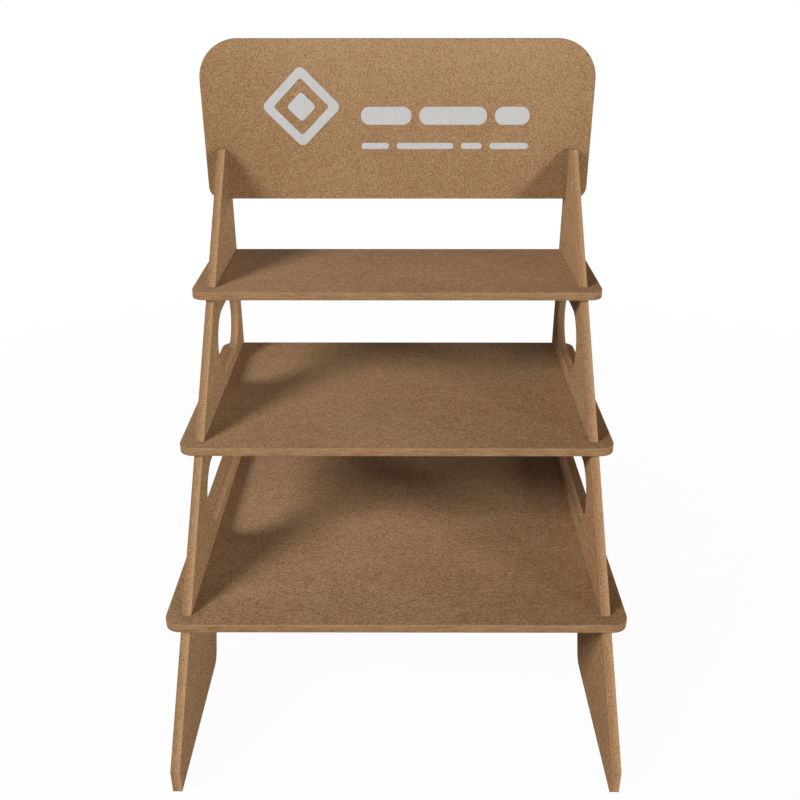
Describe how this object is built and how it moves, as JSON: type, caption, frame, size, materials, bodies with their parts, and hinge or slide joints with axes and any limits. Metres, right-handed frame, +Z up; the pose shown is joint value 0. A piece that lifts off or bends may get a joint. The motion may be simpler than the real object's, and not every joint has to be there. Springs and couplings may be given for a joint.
{
  "type": "table display stand",
  "caption": "Counter-top display stand of slotted flat fibreboard: sloping side panels with rounded windows, stepped shelves and a rounded header board.",
  "frame": {"origin": "on the table, midway between the two side panels and midway between their front and back edges", "axes": "+X to the right seen from the front, -Y towards the front where the shelves step down, +Z up"},
  "size_m": [0.45, 0.5, 0.62],
  "materials": {
    "fibreboard": "raw, matt",
    "print": "pale grey screen print on the header board, matt"
  },
  "bodies": {
    "root": {"side_panel_left": "fibreboard", "side_panel_right": "fibreboard", "lower_shelf": "fibreboard", "middle_shelf": "fibreboard", "top_shelf": "fibreboard", "header_board": "fibreboard"}
  },
  "joints": []
}
